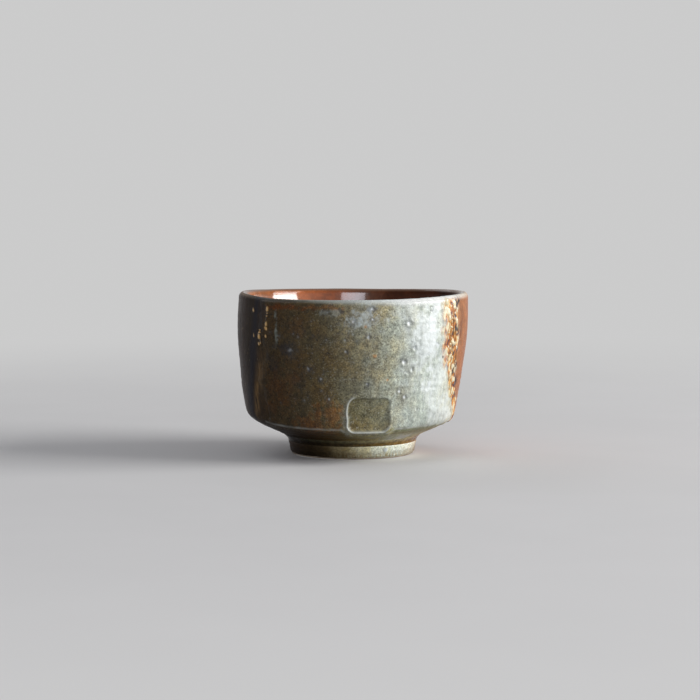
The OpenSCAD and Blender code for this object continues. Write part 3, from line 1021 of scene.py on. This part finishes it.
INSIDE_GLOSS = {
    -180: 1, -170: 0.6, -145: 1, -100: 1, -50: 0.5, 60: 0.3, 100: 0.12, 160: 0.12, 170: 0.4, 176: 1,
    180: 1,
}
# Tint of the wall just below the ridge: yellow-olive, and darkened most on the left, which is partly painted
# shade under the ridge
UNDER_TINT_AND_SHADE = {
    -60: (0.25, 0.22, 0.15), -25: (0.33, 0.3, 0.2), 0: (0.82, 0.79, 0.58), 25: (0.98, 0.94, 0.68),
    60: (0.95, 0.84, 0.58),
}
# Tint of the foot glaze: pale tan on the lit right and near black on the left, the same glaze painted light
# and shaded
FOOT_TINT_AND_SHADE = {
    -180: (0.2, 0.1, 0.05), -90: (0.05, 0.027, 0.014), -40: (0.03, 0.019, 0.008),
    -22: (0.09, 0.066, 0.032), -8: (0.29, 0.24, 0.125), 5: (0.6, 0.57, 0.38),
    18: (0.82, 0.84, 0.66), 38: (0.8, 0.86, 0.75), 60: (0.8, 0.8, 0.68), 90: (0.34, 0.2, 0.1),
    180: (0.2, 0.1, 0.05),
}


def amber_paint(p):
    """Colour of the amber zone: cream blobs in orange veins, with more rust and purple towards its right"""
    vein = p.noise(1.45, stretch=1.9, seed=21.3, bend=0.6)
    lower = p.maths("MULTIPLY", p.maths("SUBTRACT", "burn", 0.25), 0.11)
    heat = p.maths("SUBTRACT", vein, lower)
    return p.ramp(heat, {
        0.33: (0.04, 0.035, 0.055), 0.39: (0.2, 0.055, 0.02), 0.46: (0.58, 0.18, 0.026),
        0.535: (0.8, 0.42, 0.11), 0.595: (0.86, 0.76, 0.48),
    })


def ash_paint(p, grain, mottle, streak):
    """Colour of the melted ash: mottled, grainy and specked, olive at the left and celadon at the right, with
    painted shade on the left and under the ridge and painted highlights
    """
    right = p.by_turn({18: 0, 40: 1})
    cloud = p.noise(6, stretch=1.3, detail=4, rough=0.6, seed=5.7)
    speck = p.noise(0.7, rough=0.6, seed=8.3)
    glint = p.noise(0.5, rough=0.6, seed=13.9)
    even = p.mix(right, p.ramp(mottle, {0.34: 0.6, 0.66: 1.36}), p.ramp(mottle, {0.34: 0.78, 0.66: 1.16}))
    colour = p.times(p.by_turn(ASH), even)
    fine = p.mix(right, p.ramp(grain, {0.34: 0.52, 0.66: 1.48}), p.ramp(grain, {0.34: 0.8, 0.66: 1.13}))
    runny = p.mix(p.by_turn({24: 0, 34: 1}), 1,
                  p.ramp(streak, {0.36: (0.72, 0.76, 0.76), 0.6: (1.1, 1.1, 1.08)}))
    colour = p.times(colour, runny)
    colour = p.times(colour, fine)
    tint = p.mix(right, (1.18, 0.94, 0.62), (0.97, 1, 0.97))
    colour = p.tint(p.ramp(cloud, {0.42: 0, 0.62: 0.75}), colour, tint)
    # Below the ridge the ash is tinted olive and darkened by turn, partly painted shade; the band lower on
    # the underside's right is olive tint and painted shade where the wall faces down
    under = p.ramp(p.high(RIDGE_Z - 2.6, RIDGE_Z - 0.8), {0: 1, 1: 0})
    colour = p.tint(under, colour, p.by_turn(UNDER_TINT_AND_SHADE))
    band = p.ramp(p.high(6.8, 10.6), {0.1: 0, 0.32: 1, 0.74: 1, 0.92: 0})
    band = p.maths("MULTIPLY", band, p.by_turn({12: 0, 22: 1}))
    colour = p.tint(band, colour, (0.6, 0.57, 0.37))
    colour = p.tint("panel", colour, (0.74, 0.7, 0.57))
    colour = p.tint("warm", colour, (1.9, 1, 0.5))
    few = p.mix(p.by_turn({20: 0, 36: 1}), 1, 0.45)
    specked = p.maths("MULTIPLY", p.ramp(speck, {0.6: 0, 0.68: 0.75}), few)
    colour = p.tint(specked, colour, (0.3, 0.26, 0.22))
    # Painted glints: pale specks where the glint noise peaks, faint on the shaded left and stronger towards
    # the lit right
    strength = p.by_turn({-40: 0.04, -20: 0.12, 0: 0.3, 30: 0.45})
    light = p.mix(strength, colour, (0.85, 0.88, 0.8))
    colour = p.mix(p.ramp(glint, {0.6: 0, 0.68: 0.9}), colour, light)
    # The whitish clouds: pale patches of ash, darker on the shaded left, and on the right a smoother painted
    # sheen where the key light is reflected
    uneven = p.mix(right, p.ramp(mottle, {0.38: 0.1, 0.6: 1}), p.ramp(mottle, {0.38: 0.6, 0.55: 1}))
    white = p.by_turn({-30: (0.36, 0.42, 0.38), -5: (0.63, 0.74, 0.75), 35: (0.84, 0.9, 0.9)})
    colour = p.mix(p.maths("MULTIPLY", "pale", uneven), colour, white)
    # Painted highlight: the pale lines along the panel's rim and along the ridge
    colour = p.mix("rim", colour, p.mix("panel", (0.62, 0.66, 0.62), (0.8, 0.84, 0.8)))
    colour = p.mix(p.maths("MULTIPLY", "halo", 0.65), colour, (0.07, 0.08, 0.09))
    return p.mix("amber", colour, amber_paint(p))


def flash_paint(p, grain, mottle, streak):
    """Colour of the flashed glaze: red and dark brown clouds, faint runs, a bloom and small specks of ash"""
    cloud = p.noise(11, stretch=1.4, detail=5, rough=0.62, seed=15.1, bend=0.6)
    bloom = p.noise(5, stretch=1.6, detail=4, rough=0.6, seed=16.7)
    speck = p.noise(0.8, detail=3, rough=0.6, seed=17.9)
    colour = p.vary(p.by_turn(FLASH), streak, {0.3: 0.84, 0.7: 1.14})
    colour = p.vary(colour, mottle, {0.32: 0.78, 0.68: 1.2})
    colour = p.vary(colour, grain, {0.3: 0.82, 0.7: 1.18})
    colour = p.tint(p.ramp(cloud, {0.5: 0, 0.64: 0.85}), colour, (0.42, 0.36, 0.42))
    colour = p.tint(p.ramp(bloom, {0.52: 0, 0.68: 0.4}), colour, (1.15, 1.35, 1.3))
    spotted = p.mix(0.5, colour, (0.5, 0.4, 0.24))
    return p.mix(p.ramp(speck, {0.66: 0, 0.72: 0.8}), colour, spotted)


def skin_paint():
    """Flashed glaze and melted ash, told apart by the ash mark; shared by the outer glaze and the ash coat"""
    p = Paint("fired_skin", wobble=0.03)
    grain = p.noise(0.42, detail=3, rough=0.7, seed=2.1)
    mottle = p.noise(1.5, detail=5, rough=0.65, seed=4.2)
    streak = p.noise(1.1, stretch=9, detail=4, rough=0.6, seed=1.3)
    colour = p.mix("ash", flash_paint(p, grain, mottle, streak), ash_paint(p, grain, mottle, streak))
    colour = p.mix("tan", colour, p.ramp(streak, {0.36: (0.09, 0.05, 0.02), 0.62: (0.36, 0.22, 0.09)}))
    colour = p.mix("lip", colour, p.vary(p.by_turn(LIP), grain, {0.3: 0.8, 0.7: 1.15}))
    colour = p.mix("dark", colour, (0.018, 0.016, 0.024))
    colour = p.mix("bead", colour, p.by_turn({-50: (0.85, 0.5, 0.15), 40: (0.85, 0.76, 0.5)}))
    # Painted glints on the pits: pale spots, weak on the shaded left and strong on the lit right
    painted_glint_colour = p.mix(p.by_turn({-35: 0.3, 20: 0.9}), colour, (0.86, 0.92, 0.94))
    p.set(Base_Color=p.mix("painted_pit_glint", colour, painted_glint_colour))
    rough = p.mix("ash", p.ramp(streak, {0.3: 0.26, 0.7: 0.4}), p.ramp(mottle, {0.3: 0.3, 0.7: 0.46}))
    rough = p.mix("bead", p.mix("amber", rough, 0.22), 0.14)
    p.set(Roughness=p.mix("halo", rough, 0.2))
    under = p.ramp(p.high(RIDGE_Z - 2.2, RIDGE_Z - 0.6), {0: 0.4, 1: 1})
    gloss = p.maths("MULTIPLY", p.by_turn(OUTSIDE_GLOSS), under)
    p.set(Specular_IOR_Level=p.mix("bead", gloss, 0.8))
    p.bump([(mottle, 0.06), (grain, 0.07)])
    return p.material


def liner_paint():
    p = Paint("liner", wobble=0.04)
    cloud = p.noise(5, detail=4, rough=0.6, seed=6.1)
    fine = p.noise(0.8, detail=3, seed=7.4)
    upper = p.ramp(p.high(24, 38), {0: 0, 1: 1})
    well = p.ramp(cloud, {0.35: (0.13, 0.04, 0.012), 0.65: (0.3, 0.11, 0.03)})
    # The upper liner's colour by turn carries painted light and shade
    colour = p.vary(p.mix(upper, well, p.by_turn(INSIDE)), cloud, {0.3: 0.62, 0.7: 1.38})
    colour = p.vary(colour, fine, {0.3: 0.85, 0.7: 1.12})
    rough = p.mix(upper, p.ramp(fine, {0.3: 0.2, 0.7: 0.32}), p.ramp(fine, {0.3: 0.06, 0.7: 0.12}))
    p.set(Base_Color=p.mix("lip", colour, p.by_turn(LIP)), Roughness=rough)
    gloss = p.mix(upper, 0.3, p.by_turn(INSIDE_GLOSS))
    lip_gloss = p.by_turn({-75: 0.3, -62: 0.04, -30: 0.04, -10: 0.3, 180: 0.3})
    below = p.ramp(p.high(CUP_H - 1.9, CUP_H - 1), {0: 1, 1: 0.12})
    p.set(Specular_IOR_Level=p.mix("lip", p.maths("MULTIPLY", gloss, below), lip_gloss))
    coat = p.by_turn({-180: 0.5, -170: 0.1, -150: 0.6, -100: 0.6, -60: 0, 172: 0, 178: 0.5})
    p.set(Coat_Weight=p.maths("MULTIPLY", p.maths("MULTIPLY", upper, coat), below), Coat_Roughness=0.04)
    p.bump([(cloud, 0.04), (fine, 0.005)])
    return p.material


def clay_paint(name, seed, dark, light):
    p = Paint(name)
    body = p.noise(3, detail=4, seed=seed)
    grit = p.cells(0.9, seed=seed + 1)
    colour = p.ramp(body, {0.3: dark, 0.7: light})
    colour = p.mix(p.ramp(grit, {0.06: 0.8, 0.16: 0}), colour, (0.55, 0.47, 0.38))
    fine = p.noise(0.3, detail=3, seed=seed + 2)
    p.set(Base_Color=colour, Roughness=p.ramp(fine, {0.3: 0.7, 0.7: 0.9}))
    p.bump([(fine, 0.05), (grit, 0.03)])
    return p.material


def groove_paint():
    p = Paint("groove_pool", wobble=0.04)
    fine = p.noise(0.9, detail=3, seed=8.8)
    top = p.ramp(p.high(FOOT_H + 0.85, FOOT_H + 1.8), {0: 0, 1: 0.9})
    tint = p.mix(top, p.by_turn(GROOVE_TINT), p.by_turn(GROOVE_TOP))
    colour = p.vary(tint, fine, {0.3: 0.5, 0.7: 1.5})
    p.set(Base_Color=colour, Roughness=p.ramp(fine, {0.3: 0.12, 0.7: 0.25}))
    p.set(Specular_IOR_Level=p.by_turn(LOW_GLOSS))
    p.bump([(fine, 0.02)])
    return p.material


def foot_glaze_paint():
    p = Paint("foot_glaze", wobble=0.04)
    mottle = p.noise(0.9, stretch=0.6, detail=5, rough=0.65, seed=9.9)
    grain = p.noise(0.4, detail=3, rough=0.7, seed=11.2)
    cloud = p.noise(2.5, detail=3, seed=10.4)
    colour = p.tint(p.ramp(cloud, {0.5: 0, 0.66: 0.5}), p.by_turn(FOOT_TINT_AND_SHADE), (0.85, 0.74, 0.45))
    colour = p.vary(colour, mottle, {0.34: 0.75, 0.66: 1.2})
    colour = p.vary(colour, grain, {0.34: 0.7, 0.66: 1.25})
    brush = p.noise(0.6, stretch=4, detail=3, rough=0.6, seed=19.4)
    lower = p.ramp(p.high(0.5, FOOT_H), {0.15: 0.75, 0.6: 0})
    brown = p.maths("MULTIPLY", p.ramp(brush, {0.45: 0, 0.58: 1}), lower)
    colour = p.tint(brown, colour, (0.6, 0.42, 0.2))
    # Painted light and shade on the foot: darker low down and brighter towards its top edge, where the key
    # light catches it
    colour = p.vary(colour, p.high(0.5, FOOT_H), {0: 0.8, 0.12: 0.6, 0.45: 0.78, 0.72: 1.15, 1: 1.3})
    colour = p.mix("drop", colour, (0.7, 0.76, 0.74))
    p.set(Base_Color=colour, Roughness=p.ramp(mottle, {0.3: 0.3, 0.7: 0.5}))
    p.set(Specular_IOR_Level=p.by_turn(LOW_GLOSS))
    p.bump([(mottle, 0.05), (grain, 0.03)])
    return p.material


def runs_paint():
    p = Paint("melted_runs")
    bead = p.ramp("bead", {0.62: 0, 1.2: 1})
    thin = p.by_turn({-50: (0.06, 0.04, 0.02), 50: (0.5, 0.22, 0.05)})
    thick = p.by_turn({-50: (0.8, 0.46, 0.14), 50: (0.78, 0.66, 0.4)})
    fine = p.noise(0.6, stretch=2, detail=3, seed=12.5)
    colour = p.mix(bead, thin, thick)
    p.set(Base_Color=p.vary(colour, fine, {0.3: 0.6, 0.7: 1.35}), Roughness=0.18)
    p.bump([(fine, 0.02)])
    return p.material


def seen(nodes, links):
    """1 for rays from the camera and for mirrored or refracted ones"""
    path = nodes.new("ShaderNodeLightPath")
    total = path.outputs["Is Camera Ray"]
    for name in ("Is Glossy Ray", "Is Transmission Ray"):
        more = nodes.new("ShaderNodeMath")
        more.operation = "MAXIMUM"
        links.new(total, more.inputs[0])
        links.new(path.outputs[name], more.inputs[1])
        total = more.outputs[0]
    return total


def floor_paint():
    """A plain pale floor that blends into the backdrop far away and is clear when it is seen from below"""
    p = Paint("floor")
    fine = p.noise(40, seed=2)
    near = p.ramp(fine, {0.3: FLOOR_GREY - 0.01, 0.7: FLOOR_GREY + 0.01})
    p.set(Base_Color=p.mix(seen(p.nodes, p.links), 0.3, near), Roughness=0.7, Specular_IOR_Level=0.2)
    length = p.node("VectorMath")
    length.operation = "LENGTH"
    p.feed(length.inputs[0], p.place)
    start, end = FLOOR_FADE
    far = p.maths("DIVIDE", p.maths("SUBTRACT", length.outputs["Value"], start), end - start, clamp=True)
    fade = p.maths("MULTIPLY", p.ramp(far, {0: 0, 1: 1}, "EASE"), seen(p.nodes, p.links))
    glow = p.node("Emission", Color=PALE)
    blend = p.node("MixShader", Fac=fade)
    p.feed(blend.inputs[1], p.shader.outputs[0])
    p.feed(blend.inputs[2], glow.outputs[0])
    choose = p.node("MixShader", Fac=p.node("NewGeometry").outputs["Backfacing"])
    p.feed(choose.inputs[1], blend.outputs[0])
    p.feed(choose.inputs[2], p.node("BsdfTransparent").outputs[0])
    p.feed(p.nodes["Material Output"].inputs["Surface"], choose.outputs[0])
    return p.material


def make_floor():
    turn = np.arange(FLOOR_SIDES) * 2 * math.pi / FLOOR_SIDES
    ring = np.stack([np.cos(turn), np.sin(turn), np.zeros(FLOOR_SIDES)], 1)
    low = np.array([0, 0, -FLOOR_SINK * MM])
    coords = np.vstack([ring * FLOOR_HOLE * MM + low, ring * FLOOR_REACH + low])
    inner = np.arange(FLOOR_SIDES)
    after = np.roll(inner, -1)
    faces = np.stack([inner, inner + FLOOR_SIDES, after + FLOOR_SIDES, after], 1)
    mesh = bpy.data.meshes.new("floor")
    mesh.from_pydata(coords, [], faces.tolist())
    mesh.materials.append(floor_paint())
    floor = bpy.data.objects.new("floor", mesh)
    bpy.context.scene.collection.objects.link(floor)


def make_world():
    world = bpy.data.worlds.new("studio")
    bpy.context.scene.world = world
    world.use_nodes = True
    nodes, links = world.node_tree.nodes, world.node_tree.links
    pale = nodes["Background"]
    pale.inputs["Color"].default_value = (PALE, PALE, PALE, 1)
    soft = nodes.new("ShaderNodeBackground")
    soft.inputs["Color"].default_value = (AMBIENT, AMBIENT, 1.04 * AMBIENT, 1)
    choose = nodes.new("ShaderNodeMixShader")
    links.new(seen(nodes, links), choose.inputs[0])
    links.new(soft.outputs[0], choose.inputs[1])
    links.new(pale.outputs[0], choose.inputs[2])
    links.new(choose.outputs[0], nodes["World Output"].inputs["Surface"])


def area_light(name, turn, up, far, width, height, radiance, colour):
    """A soft box that looks at the cup from a turn and an angle up, in degrees, and from far metres"""
    light = bpy.data.lights.new(name, "AREA")
    light.shape = "RECTANGLE"
    light.size, light.size_y = width, height
    light.energy = radiance * math.pi * width * height
    light.color = colour
    a, e = math.radians(turn), math.radians(up)
    way = Vector((math.sin(a) * math.cos(e), -math.cos(a) * math.cos(e), math.sin(e)))
    lamp = bpy.data.objects.new(name, light)
    lamp.location = Vector((0, 0, LIGHT_AIM * MM)) + way * far
    lamp.rotation_euler = way.to_track_quat("Z", "Y").to_euler()
    lamp.visible_camera = False
    bpy.context.scene.collection.objects.link(lamp)


def make_lights():
    area_light("key", 84, 18, 1.4, 0.88, 0.88, 9, (1, 0.99, 0.98))
    area_light("front", 0, 12, 0.9, 0.42, 0.26, 3.4, (0.93, 0.91, 1))
    area_light("back_left", -140, 35, 0.9, 0.5, 0.4, 1.2, (0.97, 0.98, 1))


def make_camera():
    camera = bpy.data.cameras.new("camera")
    camera.sensor_width = SENSOR_W
    camera.lens = FOCAL_PX * SENSOR_W / PICTURE_PX
    camera.clip_start, camera.clip_end = 0.05, 20
    eye = bpy.data.objects.new("camera", camera)
    eye.location = [place * MM for place in EYE]
    eye.rotation_euler = (math.radians(90 - LOOK_DOWN), 0, 0)
    bpy.context.scene.collection.objects.link(eye)
    bpy.context.scene.camera = eye


bpy.context.scene.view_settings.view_transform = "Standard"
make_camera()
make_floor()
make_world()
make_lights()
skin_material = skin_paint()
make_outer_glaze(skin_material)
make_ash_coat(skin_material)
make_ash_runs(runs_paint())
make_liner(liner_paint())
make_clay_bowl(clay_paint("bowl_clay", 1.7, (0.22, 0.12, 0.07), (0.36, 0.23, 0.15)))
make_foot_ring(clay_paint("foot_clay", 3.9, (0.26, 0.2, 0.14), (0.46, 0.38, 0.28)))
make_foot_glaze(foot_glaze_paint())
make_groove_glaze(groove_paint())
